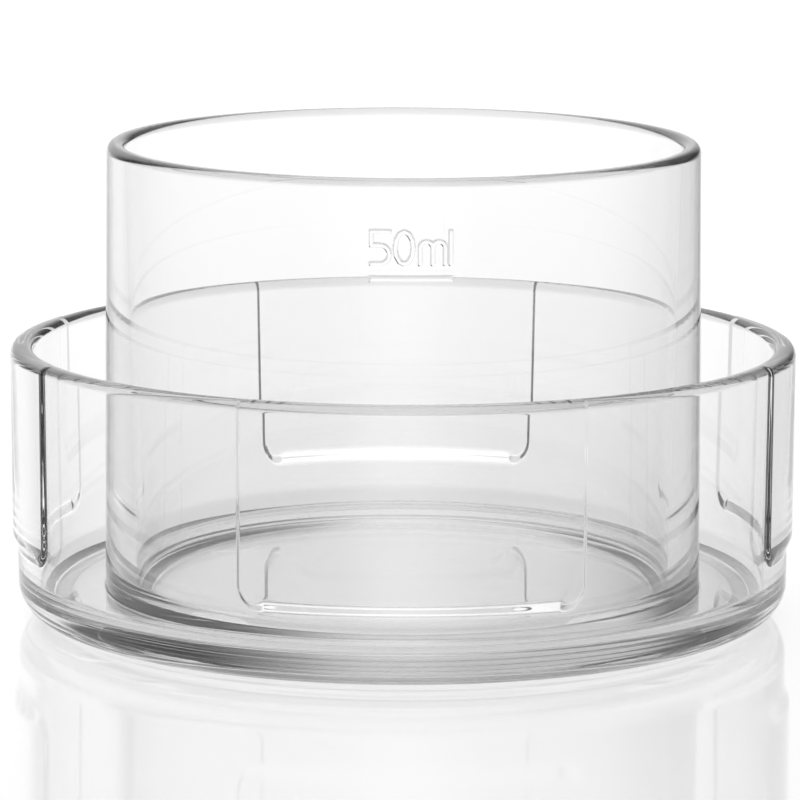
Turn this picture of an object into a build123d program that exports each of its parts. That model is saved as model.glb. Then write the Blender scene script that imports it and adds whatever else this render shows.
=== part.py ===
"""Small clear turntable: a dish with finger grips turns on a thin base, round a measuring cup that lifts out.

Millimetres, +Z up, origin on the table at the turning axis. The fill line is on the front, towards -Y.
"""

import os
from math import sqrt

from build123d import *

# --- Heights above the table -------------------------------------------------------------------------------
FOOT_PROUD = 0.2  # the pads hold the base this far off the table
SEAT_FLOOR = 1.0  # floor of the base's round seat, which the cup's foot drops into
CUP_BOTTOM = 1.05
BASE_TOP = 1.3
DISH_BOTTOM = 1.4
FLOOR_TOP = 2.7  # the dish floor and the cup floor finish level
GRIP_BOTTOM = 6.0
DISH_RIM = 23.3
FILL_LINE = 32.3
DIGIT_BASE = 33.5
CUP_RIM = 40.3

# --- Measuring cup -----------------------------------------------------------------------------------------
CUP_RIM_R = 25.05
CUP_FOOT_R = 25.35
CUP_BORE_RIM_R = 23.45
CUP_BORE_LOW_R = 22.8
CUP_RIM_ROUND = 0.7
CUP_FOOT_ROUND = 0.3
CUP_FLOOR_FILLET = 1.7

# --- Fill line and volume mark, moulded on the cup's front wall --------------------------------------------
MARK_PROUD = 0.25
MARK_ROOT = 0.6  # depth that the marks run into the wall
FILL_LINE_WIDTH = 6.7
FILL_LINE_THICK = 0.6
DIGIT_HEIGHT = 2.6
DIGIT_WIDTH = 1.45
FIVE_SHOULDER = 1.5  # height at which the stem of the 5 runs into its bowl
FIVE_BELLY = 0.8  # height of the bowl's furthest point
X_HEIGHT = 1.8  # height of the letter m
ARCH_WIDTH = 1.0
STROKE = 0.34
CHARACTER_GAP = 0.45

# --- Grip dish ---------------------------------------------------------------------------------------------
DISH_RIM_R = 32.9
DISH_LOW_R = 32.7
DISH_BORE_RIM_R = 31.25
DISH_BORE_LOW_R = 30.9
DISH_RIM_ROUND = 0.8
DISH_FLOOR_FILLET = 1.6
CORNER_ROUND = 3.0  # the rounded bottom corner that the dish and the base share
GRIP_COUNT = 4
GRIP_ANGLE = 50.4
GRIP_RIM_R = 33.25
GRIP_LOW_R = 33.15
GRIP_ROOT_R = 32.08  # the grip's inner side, buried in the dish wall
GRIP_CORNER = 2.4
GRIP_EDGE = 0.45

# --- Bearing, base and feet --------------------------------------------------------------------------------
BEARING_GAP = 0.1  # between the cup's foot and the hole in the dish floor
SEAT_R = 25.5
GLIDE_INNER_R = 28.2
GLIDE_OUTER_R = 29.6
GLIDE_SINK = 0.4
GLIDE_PROUD = 0.05
GROOVE_GAP = 0.05
FOOT_COUNT = 4
FOOT_CIRCLE_R = 22.0
FOOT_R = 3.0
FOOT_SINK = 0.3

CORNER_CENTRE_R = DISH_LOW_R - CORNER_ROUND
CORNER_CENTRE_Z = FOOT_PROUD + CORNER_ROUND
DISH_HOLE_R = CUP_FOOT_R + BEARING_GAP
FIRST_FOOT_ANGLE = 180 / FOOT_COUNT
MARK_LEFT = -FILL_LINE_WIDTH / 2 + STROKE / 2
MARK_RIGHT = FILL_LINE_WIDTH / 2 - STROKE / 2

os.makedirs("parts", exist_ok=True)


def corner_point(height):
    """Point on the rounded bottom corner at a height above the table."""
    reach = sqrt(CORNER_ROUND**2 - (CORNER_CENTRE_Z - height) ** 2)
    return (CORNER_CENTRE_R + reach, height)


# --- Base disc: thin disc with the cup's seat, the glide ring's groove and the foot pockets ----------------
with BuildPart() as base_disc:
    with BuildSketch(Plane.XZ):
        with BuildLine():
            ThreePointArc(
                (CORNER_CENTRE_R, FOOT_PROUD),
                corner_point((FOOT_PROUD + BASE_TOP) / 2),
                corner_point(BASE_TOP),
            )
            Polyline(
                corner_point(BASE_TOP),
                (SEAT_R, BASE_TOP),
                (SEAT_R, SEAT_FLOOR),
                (0, SEAT_FLOOR),
                (0, FOOT_PROUD),
                (CORNER_CENTRE_R, FOOT_PROUD),
            )
        make_face()
    revolve(axis=Axis.Z)
    with BuildSketch(Plane.XY.offset(BASE_TOP)):
        Circle(GLIDE_OUTER_R + GROOVE_GAP)
        Circle(GLIDE_INNER_R - GROOVE_GAP, mode=Mode.SUBTRACT)
    extrude(amount=-GLIDE_SINK, mode=Mode.SUBTRACT)
    with BuildSketch(Plane.XY.offset(FOOT_PROUD)):
        with PolarLocations(FOOT_CIRCLE_R, FOOT_COUNT, start_angle=FIRST_FOOT_ANGLE):
            Circle(FOOT_R)
    extrude(amount=FOOT_SINK, mode=Mode.SUBTRACT)
base_disc.part.label = "base_disc"
export_step(base_disc.part, "parts/base_disc.step")


# --- Foot pads: clear non-slip pads, glued in the pockets --------------------------------------------------
with BuildPart() as foot_pads:
    with BuildSketch(Plane.XY):
        with PolarLocations(FOOT_CIRCLE_R, FOOT_COUNT, start_angle=FIRST_FOOT_ANGLE):
            Circle(FOOT_R)
    extrude(amount=FOOT_PROUD + FOOT_SINK)
foot_pads.part.label = "foot_pads"
export_step(foot_pads.part, "parts/foot_pads.step")


# --- Glide ring: low-friction ring that carries the dish floor ---------------------------------------------
with BuildPart() as glide_ring:
    with BuildSketch(Plane.XY.offset(BASE_TOP - GLIDE_SINK)):
        Circle(GLIDE_OUTER_R)
        Circle(GLIDE_INNER_R, mode=Mode.SUBTRACT)
    extrude(amount=GLIDE_SINK + GLIDE_PROUD)
glide_ring.part.label = "glide_ring"
export_step(glide_ring.part, "parts/glide_ring.step")


# --- One finger grip: a curved pad with rounded lower corners and a rounded outline ------------------------
with BuildPart() as grip:
    with BuildSketch(Plane.XZ.rotated((0, 0, -GRIP_ANGLE / 2))):
        with BuildLine():
            FilletPolyline(
                (GRIP_ROOT_R, GRIP_BOTTOM),
                (GRIP_LOW_R, GRIP_BOTTOM),
                (GRIP_RIM_R, DISH_RIM),
                (GRIP_ROOT_R, DISH_RIM),
                radius=(0, 0, DISH_RIM_ROUND, 0),
                close=True,
            )
        make_face()
    revolve(axis=Axis.Z, revolution_arc=GRIP_ANGLE)
    fillet(grip.edges().group_by(Axis.Z)[0].filter_by(GeomType.LINE), GRIP_CORNER)
    grip_face = grip.faces().filter_by(GeomType.CONE).sort_by(SortBy.AREA)[-1]
    fillet(grip_face.edges().sort_by(Axis.Z)[:-1], GRIP_EDGE)


# --- Grip dish: drafted wall, open floor that turns round the cup's foot, raised grips up to the rim -------
with BuildPart() as grip_dish:
    with BuildSketch(Plane.XZ):
        with BuildLine():
            ThreePointArc(
                corner_point(DISH_BOTTOM),
                corner_point((DISH_BOTTOM + CORNER_CENTRE_Z) / 2),
                corner_point(CORNER_CENTRE_Z),
            )
            FilletPolyline(
                corner_point(CORNER_CENTRE_Z),
                (DISH_RIM_R, DISH_RIM),
                (DISH_BORE_RIM_R, DISH_RIM),
                (DISH_BORE_LOW_R, FLOOR_TOP),
                (DISH_HOLE_R, FLOOR_TOP),
                (DISH_HOLE_R, DISH_BOTTOM),
                corner_point(DISH_BOTTOM),
                radius=(DISH_RIM_ROUND, DISH_RIM_ROUND, DISH_FLOOR_FILLET, 0, 0),
            )
        make_face()
    revolve(axis=Axis.Z)
    with PolarLocations(0, GRIP_COUNT):
        add(grip.part)
grip_dish.part.label = "grip_dish"
export_step(grip_dish.part, "parts/grip_dish.step")


# --- Moulded marks of the cup: a fill line with its volume above it, drawn on the front plane --------------
def draw_five(left):
    """Figure 5: a top bar and a stem that runs into an open bowl."""
    right = left + DIGIT_WIDTH
    shoulder = (left, FIVE_SHOULDER)
    with BuildLine() as stroke:
        Polyline((right, DIGIT_HEIGHT), (left, DIGIT_HEIGHT), shoulder)
        ThreePointArc(shoulder, (right, FIVE_BELLY), (left, 0))
    trace(stroke.line, line_width=STROKE)


def draw_zero(left):
    """Figure 0: an upright ring."""
    with Locations((left + DIGIT_WIDTH / 2, DIGIT_HEIGHT / 2)):
        Ellipse((DIGIT_WIDTH + STROKE) / 2, (DIGIT_HEIGHT + STROKE) / 2)
        Ellipse((DIGIT_WIDTH - STROKE) / 2, (DIGIT_HEIGHT - STROKE) / 2, mode=Mode.SUBTRACT)


def draw_arch(left):
    """One arch of the letter m, which has two side by side."""
    right = left + ARCH_WIDTH
    spring = X_HEIGHT - ARCH_WIDTH / 2
    with BuildLine() as stroke:
        Line((left, 0), (left, spring))
        ThreePointArc((left, spring), ((left + right) / 2, X_HEIGHT), (right, spring))
        Line((right, spring), (right, 0))
    trace(stroke.line, line_width=STROKE)


def draw_stem(left):
    """Letter l: one upright stroke."""
    with BuildLine() as stroke:
        Line((left, 0), (left, DIGIT_HEIGHT))
    trace(stroke.line, line_width=STROKE)


with BuildPart() as marks:
    with BuildSketch(Plane.XZ.offset(CUP_RIM_R - MARK_ROOT)):
        with Locations((0, FILL_LINE)):
            Rectangle(FILL_LINE_WIDTH, FILL_LINE_THICK)
    with BuildSketch(Plane((0, MARK_ROOT - CUP_RIM_R, DIGIT_BASE), x_dir=(1, 0, 0), z_dir=(0, -1, 0))):
        draw_five(MARK_LEFT)
        draw_zero(MARK_LEFT + DIGIT_WIDTH + CHARACTER_GAP)
        draw_arch(MARK_RIGHT - CHARACTER_GAP - 2 * ARCH_WIDTH)
        draw_arch(MARK_RIGHT - CHARACTER_GAP - ARCH_WIDTH)
        draw_stem(MARK_RIGHT)
    extrude(amount=2 * MARK_ROOT)
    with BuildSketch(Plane.XY.offset(FILL_LINE - FILL_LINE_THICK)):
        Circle(CUP_RIM_R + MARK_PROUD)
    extrude(amount=CUP_RIM - FILL_LINE, mode=Mode.INTERSECT)


# --- Measuring cup: drafted wall with its marks, foot that drops into the seat of the base -----------------
with BuildPart() as measuring_cup:
    with BuildSketch(Plane.XZ):
        with BuildLine():
            FilletPolyline(
                (0, FLOOR_TOP),
                (CUP_BORE_LOW_R, FLOOR_TOP),
                (CUP_BORE_RIM_R, CUP_RIM),
                (CUP_RIM_R, CUP_RIM),
                (CUP_FOOT_R, CUP_BOTTOM),
                (0, CUP_BOTTOM),
                radius=(0, CUP_FLOOR_FILLET, CUP_RIM_ROUND, CUP_RIM_ROUND, CUP_FOOT_ROUND, 0),
                close=True,
            )
        make_face()
    revolve(axis=Axis.Z)
    add(marks.part)
measuring_cup.part.label = "measuring_cup"
export_step(measuring_cup.part, "parts/measuring_cup.step")
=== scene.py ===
"""Looks of the clear turntable: polished clear mouldings on a glossy white table, in a bright studio.

Metres, in the CAD frame: +Z up, the front towards -Y.
"""

import math

import bmesh
import bpy
import numpy as np
from mathutils import Matrix, Vector


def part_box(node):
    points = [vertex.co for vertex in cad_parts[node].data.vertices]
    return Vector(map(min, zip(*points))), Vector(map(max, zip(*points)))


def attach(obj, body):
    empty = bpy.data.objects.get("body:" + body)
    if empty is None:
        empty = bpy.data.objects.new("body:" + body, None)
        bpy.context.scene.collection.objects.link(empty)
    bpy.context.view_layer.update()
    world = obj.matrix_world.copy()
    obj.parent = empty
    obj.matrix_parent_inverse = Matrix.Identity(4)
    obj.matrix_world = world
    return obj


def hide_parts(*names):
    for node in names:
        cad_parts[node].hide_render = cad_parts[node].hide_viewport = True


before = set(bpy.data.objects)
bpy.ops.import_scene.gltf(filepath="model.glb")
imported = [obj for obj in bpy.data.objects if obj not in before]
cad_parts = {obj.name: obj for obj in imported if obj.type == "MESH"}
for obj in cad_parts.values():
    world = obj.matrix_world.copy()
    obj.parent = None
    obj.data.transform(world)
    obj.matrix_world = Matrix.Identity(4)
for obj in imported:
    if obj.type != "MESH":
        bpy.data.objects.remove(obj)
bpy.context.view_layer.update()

MM = 0.001

# --- Places read from the frame ----------------------------------------------------------------------------
base_low, base_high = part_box("base_disc")
glide_low, glide_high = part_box("glide_ring")
foot_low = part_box("foot_pads")[0]
dish_low, dish_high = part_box("grip_dish")
cup_low, cup_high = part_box("measuring_cup")
BASE_TOP = base_high.z
FLOOR_RISE = 1.4 * MM
FLOOR_TOP = BASE_TOP + FLOOR_RISE  # the dish floor and the cup floor finish level

# --- Cup ---------------------------------------------------------------------------------------------------
CUP_WALL = 1.6 * MM  # at the rim
CUP_DRAFT = 0.3 * MM  # the foot stands out this far past the rim
CUP_BORE_DRAFT = 0.65 * MM  # the bore is this much wider at the rim, in radius
CUP_FOOT_R = cup_high.x
CUP_RIM_R = CUP_FOOT_R - CUP_DRAFT
CUP_BORE_RIM_R = CUP_RIM_R - CUP_WALL
CUP_BORE_LOW_R = CUP_BORE_RIM_R - CUP_BORE_DRAFT
CUP_RIM_ROUND = 0.7 * MM
CUP_FOOT_ROUND = 0.3 * MM
CUP_FLOOR_FILLET = 1.7 * MM

# --- Marks on the cup's front wall: a fill line, and "50 ml" above it --------------------------------------
LINE_PROUD = 0.22 * MM
TEXT_PROUD = 0.14 * MM
STROKE_SIDE = 0.1 * MM  # width of a stroke's rounded side
FILL_LINE_HEIGHT = 32.3 * MM
FILL_LINE_WIDTH = 6.7 * MM
FILL_LINE_THICK = 0.6 * MM
DIGIT_BASE = 33.5 * MM
DIGIT_HEIGHT = 2.6 * MM
DIGIT_WIDTH = 1.45 * MM
FIVE_BOWL_SHARE = 0.29  # radius of the 5's bowl over the height of a digit
X_HEIGHT = 1.8 * MM
ARCH_WIDTH = 1.0 * MM
CHARACTER_GAP = 0.45 * MM
STROKE = 0.34 * MM

# --- Dish and its grips ------------------------------------------------------------------------------------
GRIP_COUNT = 4
GRIP_HALF_ANGLE = math.radians(25.2)
GRIP_PROUD_RIM = 0.35 * MM
GRIP_PROUD_LOW = 0.43 * MM
GRIP_BOTTOM = 6.0 * MM
GRIP_CORNER = 2.4 * MM
GRIP_SIDE_BLEND = 0.45 * MM
GRIP_LEDGE_BLEND = 1.5 * MM
GRIP_WALL_BLEND = 0.6 * MM  # depth in the dish's wall over which a grip's bulge builds up
DISH_WALL = 1.65 * MM  # at the rim, between two grips
DISH_DRAFT = 0.2 * MM
DISH_BORE_DRAFT = 0.35 * MM
DISH_RIM_R = dish_high.x - GRIP_PROUD_RIM
DISH_LOW_R = DISH_RIM_R - DISH_DRAFT
DISH_BORE_RIM_R = DISH_RIM_R - DISH_WALL
DISH_BORE_LOW_R = DISH_BORE_RIM_R - DISH_BORE_DRAFT
DISH_RIM_ROUND = 0.8 * MM
DISH_FLOOR_FILLET = 1.6 * MM
CORNER_ROUND = 3.0 * MM  # rounded bottom corner that the dish and the base share

# --- Base, glide ring and feet -----------------------------------------------------------------------------
BEARING_GAP = 0.1 * MM  # between the cup's foot and the hole in the dish floor
SEAT_GAP = 0.15 * MM  # between the cup's foot and the side of the seat
SEAT_SINK = 0.3 * MM
SEAT_R = CUP_FOOT_R + SEAT_GAP
SEAT_FLOOR = BASE_TOP - SEAT_SINK
GLIDE_WIDTH = 1.4 * MM
GLIDE_OUTER_R = glide_high.x
GLIDE_INNER_R = GLIDE_OUTER_R - GLIDE_WIDTH
GLIDE_EDGE = 0.08 * MM
GLIDE_LIFT = 0.02 * MM  # keeps the ring's underside off the groove's floor
GROOVE_GAP = 0.05 * MM
FOOT_COUNT = 4
FOOT_AZIMUTH = math.radians(45)  # of the first foot
FOOT_R = 3.0 * MM
FOOT_EDGE = 0.06 * MM
FOOT_GAP = 0.01 * MM  # keeps a pad's top off the base's underside
FOOT_CIRCLE_R = 22.0 * MM

# --- Fineness of the meshes --------------------------------------------------------------------------------
ARC_STEP = math.radians(7.5)
CORNER_STEP = ARC_STEP / 2
STROKE_ARC_POINTS = 13
FLAT_START = 0.02 * MM  # a flat's first points, which keep its shading from bending into the fillet
MARK_STEP = 0.05 * MM
MARK_SKIN = 0.1 * MM  # points less deep in the cup's wall than this are on its outer face
GRIP_RISE = 0.12 * MM
GRIP_MARGIN = 0.2 * MM  # the fine rings start this far below the grips
COARSE_TURN = math.radians(0.75)
GRIP_TURN = math.radians(0.1)
GRIP_MARGIN_TURN = math.radians(0.3)  # the fine turns start this far past a grip's side
SHARP_ANGLE = math.radians(35)
MERGE_DISTANCE = 1e-7  # points closer than this become one
TINY = 1e-9  # far below any real size
FAR = 1.0  # farther than any stroke


# --- Mesh helpers ------------------------------------------------------------------------------------------
def rounded(corners):
    """Points of a closed outline in the (radius, height) plane, from corners (radius, height, fillet)."""
    points = []
    count = len(corners)
    for i, (x, z, fillet) in enumerate(corners):
        if fillet == 0:
            points.append((x, z))
            continue
        here = Vector((x, z))
        before = (Vector(corners[i - 1][:2]) - here).normalized()
        after = (Vector(corners[(i + 1) % count][:2]) - here).normalized()
        half = before.angle(after) / 2
        reach = fillet / math.tan(half)
        centre = here + (before + after).normalized() * (fillet / math.sin(half))
        start = here + before * reach - centre
        end = here + after * reach - centre
        first = math.atan2(start.y, start.x)
        sweep = (math.atan2(end.y, end.x) - first + math.pi) % math.tau - math.pi
        steps = max(2, math.ceil(abs(sweep) / ARC_STEP))
        points.append(tuple(here + before * (reach + FLAT_START)))
        for k in range(steps + 1):
            angle = first + sweep * k / steps
            points.append((centre.x + fillet * math.cos(angle), centre.y + fillet * math.sin(angle)))
        points.append(tuple(here + after * (reach + FLAT_START)))
    return points


def divided(points, low, high, step):
    """The outline with its stretches between two heights cut into steps."""
    spare = step / 3  # the least distance of a cut from a stretch's ends
    out = []
    for (x0, z0), (x1, z1) in zip(points, points[1:]):
        out.append((x0, z0))
        heights = np.arange(low, high, step)
        heights = heights[(heights > min(z0, z1) + spare) & (heights < max(z0, z1) - spare)]
        if z1 < z0:
            heights = heights[::-1]
        out += [(x0 + (x1 - x0) * (z - z0) / (z1 - z0), z) for z in heights]
    out.append(points[-1])
    return out


def turns(fine_stretches=(), fine_step=COARSE_TURN):
    """Angles all round, in coarse steps, with fine steps in the stretches (start, end)."""
    angles = np.arange(0, math.tau - COARSE_TURN / 2, COARSE_TURN)
    for start, end in fine_stretches:
        inside = (angles - start) % math.tau < (end - start)
        fine = np.arange(start, end, fine_step) % math.tau
        angles = np.concatenate([angles[~inside], fine])
    return np.unique(np.round(angles, 6))


def lathe(name, points, angles, bulge=None):
    """Closed mesh of an outline turned about Z. bulge(angle, height, radius) is added to the radius."""
    outline = np.array(points)
    count, round_count = len(outline), len(angles)
    radius = np.repeat(outline[:, :1], round_count, axis=1)
    height = np.repeat(outline[:, 1:], round_count, axis=1)
    if bulge is not None:
        radius = radius + bulge(np.broadcast_to(angles, radius.shape), height, radius)
    grid = np.stack([radius * np.sin(angles), -radius * np.cos(angles), height], axis=-1)
    turn = np.arange(round_count)
    following = (turn + 1) % round_count
    through_axis = outline[0, 0] < TINY and outline[-1, 0] < TINY
    faces = []
    for i in range(count - 1 if through_axis else count):
        a, b = i * round_count, (i + 1) % count * round_count
        faces += np.stack([a + turn, a + following, b + following, b + turn], axis=1).tolist()
    mesh = bpy.data.meshes.new(name)
    mesh.from_pydata(grid.reshape(-1, 3).tolist(), [], faces)
    work = bmesh.new()
    work.from_mesh(mesh)
    bmesh.ops.remove_doubles(work, verts=work.verts, dist=MERGE_DISTANCE)
    bmesh.ops.recalc_face_normals(work, faces=work.faces)
    work.to_mesh(mesh)
    work.free()
    mesh.shade_smooth()
    mesh.set_sharp_from_angle(angle=SHARP_ANGLE)
    piece = bpy.data.objects.new(name, mesh)
    bpy.context.scene.collection.objects.link(piece)
    return piece


def ease(t):
    """Smooth step from 0 to 1."""
    t = np.clip(t, 0, 1)
    return t * t * (3 - 2 * t)


# --- Materials ---------------------------------------------------------------------------------------------
PLASTIC_IOR = 1.53
PLASTIC_LOSS_TINT = 0.5
PLASTIC_LOSS = 14.0  # per metre of depth
FLOW_SCALE = 90.0  # waves per metre
FLOW_STRENGTH = 0.02
FLOW_DEPTH = 0.05 * MM
POLISH_SCALE = 400.0
POLISH_DETAIL = 3.0
POLISHED = (0.0, 0.02)  # range of roughness of the cup and the dish
LESS_POLISHED = (0.01, 0.03)  # of the base
SATIN = (0.1, 0.2)  # of the glide ring and the feet
CLEAR_TINT = 0.985
BASE_TINT = 0.96
GLIDE_TINT = 0.93
SILICONE_TINT = 0.87
TABLE_TINT = 0.5
TABLE_GLOW = 0.62
TABLE_IOR = 1.3
TABLE_POLISH = (0.04, 0.08)
WEAR_SCALE = 30.0
WEAR_DETAIL = 4.0


def grey(level):
    """A grey of one level, as a colour."""
    return (level, level, level, 1)


def new_material(name):
    """A new node material, with its tree and its Principled shader."""
    material = bpy.data.materials.new(name)
    material.use_nodes = True
    tree = material.node_tree
    return material, tree, tree.nodes["Principled BSDF"]


def add_noise(tree, scale, detail=2.0):
    """Noise over the object's own coordinates, with features of about 1 / scale metres."""
    place = tree.nodes.new("ShaderNodeTexCoord")
    noise = tree.nodes.new("ShaderNodeTexNoise")
    noise.inputs["Scale"].default_value = scale
    noise.inputs["Detail"].default_value = detail
    tree.links.new(place.outputs["Object"], noise.inputs["Vector"])
    return noise


def add_bump(tree, shader, height_socket, strength, distance):
    """Bump from a height socket to the shader's normal."""
    bump = tree.nodes.new("ShaderNodeBump")
    bump.inputs["Strength"].default_value = strength
    bump.inputs["Distance"].default_value = distance
    tree.links.new(height_socket, bump.inputs["Height"])
    tree.links.new(bump.outputs["Normal"], shader.inputs["Normal"])


def ranged(tree, socket, low, high):
    """A socket's 0 to 1 mapped to low to high."""
    change = tree.nodes.new("ShaderNodeMapRange")
    change.inputs["To Min"].default_value = low
    change.inputs["To Max"].default_value = high
    tree.links.new(socket, change.inputs["Value"])
    return change.outputs["Result"]


def clear_plastic(name, tint, roughness):
    """Clear moulding with faint flow waves and slightly uneven polish, which takes a little of the light."""
    material, tree, shader = new_material(name)
    shader.inputs["Base Color"].default_value = grey(tint)
    shader.inputs["Transmission Weight"].default_value = 1.0
    shader.inputs["IOR"].default_value = PLASTIC_IOR
    flow = add_noise(tree, FLOW_SCALE)
    polish = add_noise(tree, POLISH_SCALE, POLISH_DETAIL)
    tree.links.new(ranged(tree, polish.outputs["Fac"], *roughness), shader.inputs["Roughness"])
    add_bump(tree, shader, flow.outputs["Fac"], FLOW_STRENGTH, FLOW_DEPTH)
    loss = tree.nodes.new("ShaderNodeVolumeAbsorption")
    loss.inputs["Color"].default_value = grey(PLASTIC_LOSS_TINT)
    loss.inputs["Density"].default_value = PLASTIC_LOSS
    tree.links.new(loss.outputs["Volume"], tree.nodes["Material Output"].inputs["Volume"])
    return material


def table_surface():
    """Glossy white light table, lit from below."""
    material, tree, shader = new_material("white_table")
    shader.inputs["Base Color"].default_value = grey(TABLE_TINT)
    shader.inputs["Emission Color"].default_value = grey(1)
    shader.inputs["Emission Strength"].default_value = TABLE_GLOW
    shader.inputs["IOR"].default_value = TABLE_IOR
    wear = add_noise(tree, WEAR_SCALE, WEAR_DETAIL)
    tree.links.new(ranged(tree, wear.outputs["Fac"], *TABLE_POLISH), shader.inputs["Roughness"])
    return material


clear_cup = clear_plastic("clear_cup", CLEAR_TINT, POLISHED)
clear_dish = clear_plastic("clear_dish", CLEAR_TINT, POLISHED)
clear_base = clear_plastic("clear_base", BASE_TINT, LESS_POLISHED)
glide_plastic = clear_plastic("glide_plastic", GLIDE_TINT, SATIN)
clear_silicone = clear_plastic("clear_silicone", SILICONE_TINT, SATIN)


def dress(piece, material, body, node):
    """Gives a piece its material, hangs it on its body and hides the CAD node that it stands for."""
    piece.data.materials.append(material)
    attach(piece, body)
    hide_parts(node)


# --- Making the cup ----------------------------------------------------------------------------------------
def near_line(x, z, points):
    """Distance from (x, z) to a chain of straight runs."""
    best = np.full(x.shape, FAR)
    for (x0, z0), (x1, z1) in zip(points, points[1:]):
        run = math.hypot(x1 - x0, z1 - z0)
        along = np.clip(((x - x0) * (x1 - x0) + (z - z0) * (z1 - z0)) / run**2, 0, 1)
        best = np.minimum(best, np.hypot(x - x0 - along * (x1 - x0), z - z0 - along * (z1 - z0)))
    return best


def arc(centre_x, centre_z, radius_x, radius_z, first, last):
    """Chain of points on an ellipse between two angles in degrees."""
    return [
        (centre_x + radius_x * math.cos(math.radians(a)), centre_z + radius_z * math.sin(math.radians(a)))
        for a in np.linspace(first, last, STROKE_ARC_POINTS)
    ]


def volume_strokes():
    """Centre lines of the characters "50 ml", measured from the mark's middle and its base line."""
    left = (STROKE - FILL_LINE_WIDTH) / 2
    right = -left
    bowl = FIVE_BOWL_SHARE * DIGIT_HEIGHT
    five = [(left + DIGIT_WIDTH, DIGIT_HEIGHT), (left, DIGIT_HEIGHT), (left, 2 * bowl)]
    five += arc(left + DIGIT_WIDTH - bowl, bowl, bowl, bowl, 90, -90) + [(left, 0)]
    zero_x = left + 1.5 * DIGIT_WIDTH + CHARACTER_GAP
    zero = arc(zero_x, DIGIT_HEIGHT / 2, DIGIT_WIDTH / 2, DIGIT_HEIGHT / 2, 0, 360)
    strokes = [five, zero, [(right, 0), (right, DIGIT_HEIGHT)]]
    bend = ARCH_WIDTH / 2
    for i in (1, 2):
        middle = right - CHARACTER_GAP - (i - 0.5) * ARCH_WIDTH
        top = arc(middle, X_HEIGHT - bend, bend, bend, 180, 0)
        strokes.append([(middle - bend, 0)] + top + [(middle + bend, 0)])
    return strokes


def cup_marks(angle, height, radius):
    """How far the fill line and the volume mark stand out of the cup's front wall."""
    x = radius * np.sin(angle)
    outside = (radius > CUP_RIM_R - MARK_SKIN) & (np.cos(angle) > 0)
    half_width, half_thick = FILL_LINE_WIDTH / 2, FILL_LINE_THICK / 2
    line = np.minimum(half_width - np.abs(x), half_thick - np.abs(height - FILL_LINE_HEIGHT))
    crown = np.sqrt(1 - (1 - np.clip(line / half_thick, 0, 1)) ** 2)
    text = np.full(x.shape, -STROKE)
    for stroke in volume_strokes():
        text = np.maximum(text, STROKE / 2 - near_line(x, height - DIGIT_BASE, stroke))
    proud = np.maximum(LINE_PROUD * crown, TEXT_PROUD * ease(text / STROKE_SIDE + 0.5))
    return np.where(outside, proud, 0.0)


def make_cup():
    """Straight cup with a flat floor, drafted outside, with its moulded marks."""
    outline = rounded(
        [
            (0, FLOOR_TOP, 0),
            (CUP_BORE_LOW_R, FLOOR_TOP, CUP_FLOOR_FILLET),
            (CUP_BORE_RIM_R, cup_high.z, CUP_RIM_ROUND),
            (CUP_RIM_R, cup_high.z, CUP_RIM_ROUND),
            (CUP_FOOT_R, cup_low.z, CUP_FOOT_ROUND),
            (0, cup_low.z, 0),
        ]
    )
    low = FILL_LINE_HEIGHT - FILL_LINE_THICK
    high = DIGIT_BASE + DIGIT_HEIGHT + STROKE
    outer = next(i for i, (r, _) in enumerate(outline) if r > CUP_RIM_R - MARK_SKIN)
    outline = outline[:outer] + divided(outline[outer:], low, high, MARK_STEP)
    reach = (FILL_LINE_WIDTH / 2 + STROKE) / CUP_RIM_R
    angles = turns([(-reach, reach)], MARK_STEP / CUP_RIM_R)
    return lathe("cup_moulding", outline, angles, cup_marks)


# --- Making the dish ---------------------------------------------------------------------------------------
def grip_bulge(angle, height, radius):
    """How far the four finger grips stand out of the dish's wall."""
    pitch = math.tau / GRIP_COUNT
    from_middle = np.abs((angle + pitch / 2) % pitch - pitch / 2)
    side = (GRIP_HALF_ANGLE - from_middle) * DISH_RIM_R
    above = height - GRIP_BOTTOM
    corner_x = np.maximum(GRIP_CORNER - side, 0)
    corner_z = np.maximum(GRIP_CORNER - above, 0)
    inside = np.minimum(GRIP_CORNER - np.hypot(corner_x, corner_z), np.minimum(side, above))
    down = np.where(corner_x + corner_z > 0, corner_z / (corner_x + corner_z + TINY), 0.0)
    blend = GRIP_SIDE_BLEND + (GRIP_LEDGE_BLEND - GRIP_SIDE_BLEND) * down**2
    share = np.clip(above / (dish_high.z - GRIP_BOTTOM), 0, 1)
    proud = GRIP_PROUD_LOW + (GRIP_PROUD_RIM - GRIP_PROUD_LOW) * share
    outside = ease((radius - DISH_BORE_RIM_R - DISH_RIM_ROUND) / GRIP_WALL_BLEND)
    return outside * proud * ease(inside / blend)


def corner_arc(low, high):
    """Points of the rounded bottom corner between two heights, going up."""
    centre_r, centre_z = DISH_LOW_R - CORNER_ROUND, base_low.z + CORNER_ROUND
    first = math.asin(max(-1.0, (low - centre_z) / CORNER_ROUND))
    last = math.asin(min(1.0, (high - centre_z) / CORNER_ROUND))
    steps = math.ceil((last - first) / CORNER_STEP)
    return [
        (centre_r + CORNER_ROUND * math.cos(a), centre_z + CORNER_ROUND * math.sin(a))
        for a in np.linspace(first, last, steps + 1)
    ]


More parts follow.
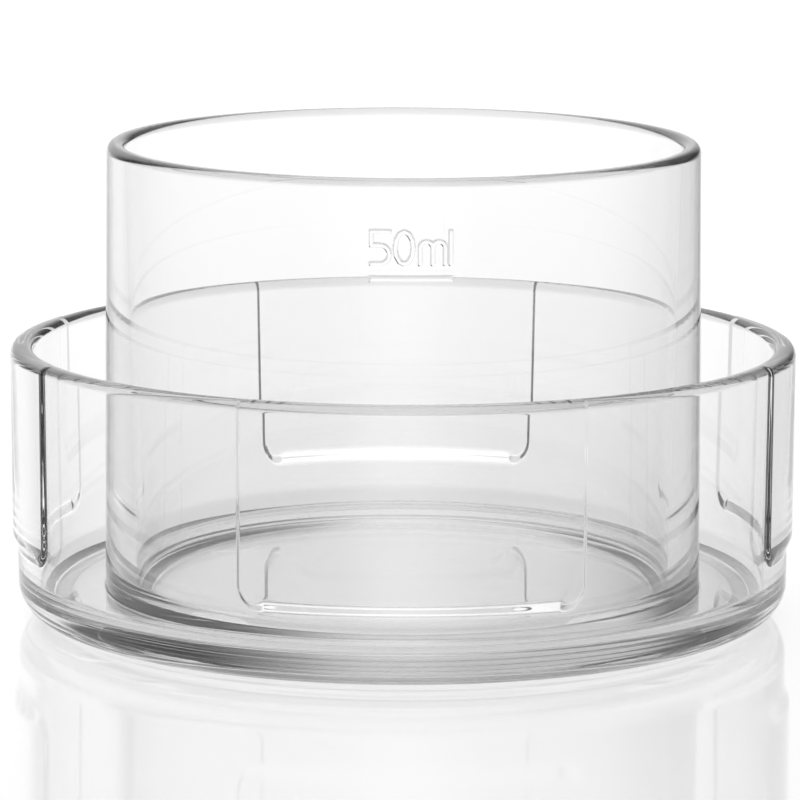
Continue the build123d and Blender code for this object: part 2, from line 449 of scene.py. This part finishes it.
def make_dish():
    """Round dish with an open floor, drafted walls and four grips that reach its rim."""
    hole_r = CUP_FOOT_R + BEARING_GAP
    corner_top = base_low.z + CORNER_ROUND
    wall = rounded(
        [
            (DISH_LOW_R, corner_top, 0),
            (DISH_RIM_R, dish_high.z, DISH_RIM_ROUND),
            (DISH_BORE_RIM_R, dish_high.z, DISH_RIM_ROUND),
            (DISH_BORE_LOW_R, FLOOR_TOP, DISH_FLOOR_FILLET),
            (hole_r, FLOOR_TOP, 0),
            (hole_r, dish_low.z, 0),
        ]
    )
    grip_corner_top = GRIP_BOTTOM + GRIP_CORNER + GRIP_LEDGE_BLEND
    outer = divided(wall[:2], GRIP_BOTTOM - GRIP_MARGIN, grip_corner_top, GRIP_RISE)
    rise = Vector(wall[1]) - Vector(wall[0])
    flat_start = tuple(Vector(wall[0]) + rise.normalized() * FLAT_START)
    outline = corner_arc(dish_low.z, corner_top) + [flat_start] + outer[1:-1] + wall[1:]
    outer_edge = GRIP_HALF_ANGLE + GRIP_MARGIN_TURN
    inner_edge = GRIP_HALF_ANGLE - (GRIP_CORNER + GRIP_SIDE_BLEND) / DISH_RIM_R
    edges = []
    for i in range(GRIP_COUNT):
        middle = i * math.tau / GRIP_COUNT
        edges += [(middle + inner_edge, middle + outer_edge), (middle - outer_edge, middle - inner_edge)]
    return lathe("dish_moulding", outline, turns(edges, GRIP_TURN), grip_bulge)


# --- Making the base, the glide ring and the feet ----------------------------------------------------------
def make_base():
    """Thin disc with the cup's seat and the glide ring's groove."""
    groove_outer_r = GLIDE_OUTER_R + GROOVE_GAP
    groove_inner_r = GLIDE_INNER_R - GROOVE_GAP
    outline = [(0, base_low.z), (DISH_LOW_R - CORNER_ROUND - FLAT_START, base_low.z)]
    outline += corner_arc(base_low.z, BASE_TOP)
    outline += [
        (groove_outer_r, BASE_TOP),
        (groove_outer_r, glide_low.z),
        (groove_inner_r, glide_low.z),
        (groove_inner_r, BASE_TOP),
        (SEAT_R, BASE_TOP),
        (SEAT_R, SEAT_FLOOR),
        (0, SEAT_FLOOR),
    ]
    return lathe("base_moulding", outline, turns())


def make_glide():
    """Flat ring with slightly rounded edges."""
    low = glide_low.z + GLIDE_LIFT
    corners = [
        (GLIDE_INNER_R, low, GLIDE_EDGE),
        (GLIDE_OUTER_R, low, GLIDE_EDGE),
        (GLIDE_OUTER_R, glide_high.z, GLIDE_EDGE),
        (GLIDE_INNER_R, glide_high.z, GLIDE_EDGE),
    ]
    return lathe("glide_band", rounded(corners), turns())


def make_feet():
    """Four round pads with rounded undersides, joined as one piece."""
    top = base_low.z - FOOT_GAP
    corners = [(0, foot_low.z, 0), (FOOT_R, foot_low.z, FOOT_EDGE), (FOOT_R, top, 0), (0, top, 0)]
    pad = lathe("foot_set", rounded(corners), turns())
    work = bmesh.new()
    for i in range(FOOT_COUNT):
        angle = FOOT_AZIMUTH + i * math.tau / FOOT_COUNT
        place = (FOOT_CIRCLE_R * math.cos(angle), FOOT_CIRCLE_R * math.sin(angle), 0)
        copy = pad.data.copy()
        copy.transform(Matrix.Translation(place))
        work.from_mesh(copy)
        bpy.data.meshes.remove(copy)
    work.to_mesh(pad.data)
    work.free()
    pad.data.shade_smooth()
    pad.data.set_sharp_from_angle(angle=SHARP_ANGLE)
    return pad


dress(make_cup(), clear_cup, "cup", "measuring_cup")
dress(make_dish(), clear_dish, "dish", "grip_dish")
dress(make_base(), clear_base, "base", "base_disc")
dress(make_glide(), glide_plastic, "base", "glide_ring")
dress(make_feet(), clear_silicone, "base", "foot_pads")


# --- Table, light and camera -------------------------------------------------------------------------------
TABLE_R = 6.0
TABLE_SIDES = 96

# The room's light, by the direction that is looked in: X to the right and Y to the back, from -1 to 1.
ROOM_LIGHT = 0.95
SIDE_LIGHT = 0.03  # share of the room's light that is left past each side of the lit wall
FRONT_LIGHT = 0.8  # share that is left straight in front
CORNER_LIGHT = 0.3  # share that is left at the front left
LEFT_FADE = (-0.7, -0.42)
RIGHT_FADE = (0.05, 0.45)
FRONT_FADE = (-1.0, 0.0)
CORNER_FADE_X = (-0.75, 0.0)
CORNER_FADE_Y = (-0.6, 0.1)

LENS = 241.965  # in millimetres, like the next two
SENSOR = 36.0
AXIS_SHIFT = 0.135  # on the sensor, from its middle to the turning axis
CAMERA_DISTANCE = 450.0 * MM
CAMERA_RISE = 55.6 * MM  # above the cup's rim
CAMERA_PITCH = math.radians(9.802)
CAMERA_AZIMUTH = math.radians(-1.4)
CAMERA_ROLL = math.radians(0.2)

PATH_BOUNCES = 56  # a ray crosses many faces of clear plastic before it gets out
GUIDED_BOUNCES = 40  # a ray that is caught in a wall turns back at its faces, which counts as glossy
TRANSPARENT_BOUNCES = 16


def make_table():
    """Round white table top, far larger than the view."""
    mesh = bpy.data.meshes.new("table")
    work = bmesh.new()
    bmesh.ops.create_circle(work, cap_ends=True, radius=TABLE_R, segments=TABLE_SIDES)
    work.to_mesh(mesh)
    work.free()
    table = bpy.data.objects.new("table", mesh)
    bpy.context.scene.collection.objects.link(table)
    mesh.materials.append(table_surface())


def make_studio():
    """White room, lit from behind the object, dark past that wall's sides and dim at the front left."""
    world = bpy.data.worlds.new("studio")
    bpy.context.scene.world = world
    world.use_nodes = True
    tree = world.node_tree
    background = tree.nodes["Background"]
    background.inputs["Strength"].default_value = ROOM_LIGHT
    place = tree.nodes.new("ShaderNodeTexCoord")
    split = tree.nodes.new("ShaderNodeSeparateXYZ")
    tree.links.new(place.outputs["Generated"], split.inputs["Vector"])

    def fade(axis, places, low, high):
        """Light that changes from low at the first of two places on an axis to high at the second."""
        ramp = tree.nodes.new("ShaderNodeMapRange")
        ramp.interpolation_type = "SMOOTHSTEP"
        ramp.inputs["From Min"].default_value = places[0]
        ramp.inputs["From Max"].default_value = places[1]
        ramp.inputs["To Min"].default_value = low
        ramp.inputs["To Max"].default_value = high
        tree.links.new(split.outputs[axis], ramp.inputs["Value"])
        return ramp.outputs["Result"]

    def combine(operation, first, second):
        """Two levels of light combined into one."""
        node = tree.nodes.new("ShaderNodeMath")
        node.operation = operation
        tree.links.new(first, node.inputs[0])
        tree.links.new(second, node.inputs[1])
        return node.outputs["Value"]

    left = fade("X", LEFT_FADE, SIDE_LIGHT, 1.0)
    right = fade("X", RIGHT_FADE, 1.0, SIDE_LIGHT)
    front = fade("Y", FRONT_FADE, FRONT_LIGHT, 1.0)
    corner_x = fade("X", CORNER_FADE_X, CORNER_LIGHT, 1.0)
    corner_y = fade("Y", CORNER_FADE_Y, CORNER_LIGHT, 1.0)
    corner = combine("MAXIMUM", corner_x, corner_y)
    light = combine("MULTIPLY", combine("MULTIPLY", left, right), combine("MULTIPLY", front, corner))
    tree.links.new(light, background.inputs["Color"])


def make_camera():
    """Long lens from the front, a little above the rim and a little to the left."""
    data = bpy.data.cameras.new("camera")
    data.lens = LENS
    data.sensor_width = SENSOR
    camera = bpy.data.objects.new("camera", data)
    bpy.context.scene.collection.objects.link(camera)
    camera.location = (
        math.sin(CAMERA_AZIMUTH) * CAMERA_DISTANCE,
        -math.cos(CAMERA_AZIMUTH) * CAMERA_DISTANCE,
        cup_high.z + CAMERA_RISE,
    )
    pan = Matrix.Rotation(CAMERA_AZIMUTH + AXIS_SHIFT / LENS, 4, "Z")
    tilt = Matrix.Rotation(math.pi / 2 - CAMERA_PITCH, 4, "X")
    roll = Matrix.Rotation(CAMERA_ROLL, 4, "Z")
    camera.rotation_euler = (pan @ tilt @ roll).to_euler()
    bpy.context.scene.camera = camera


make_table()
make_studio()
make_camera()
scene = bpy.context.scene
scene.view_settings.view_transform = "Standard"
scene.cycles.max_bounces = PATH_BOUNCES
scene.cycles.transmission_bounces = PATH_BOUNCES
scene.cycles.glossy_bounces = GUIDED_BOUNCES
scene.cycles.transparent_max_bounces = TRANSPARENT_BOUNCES
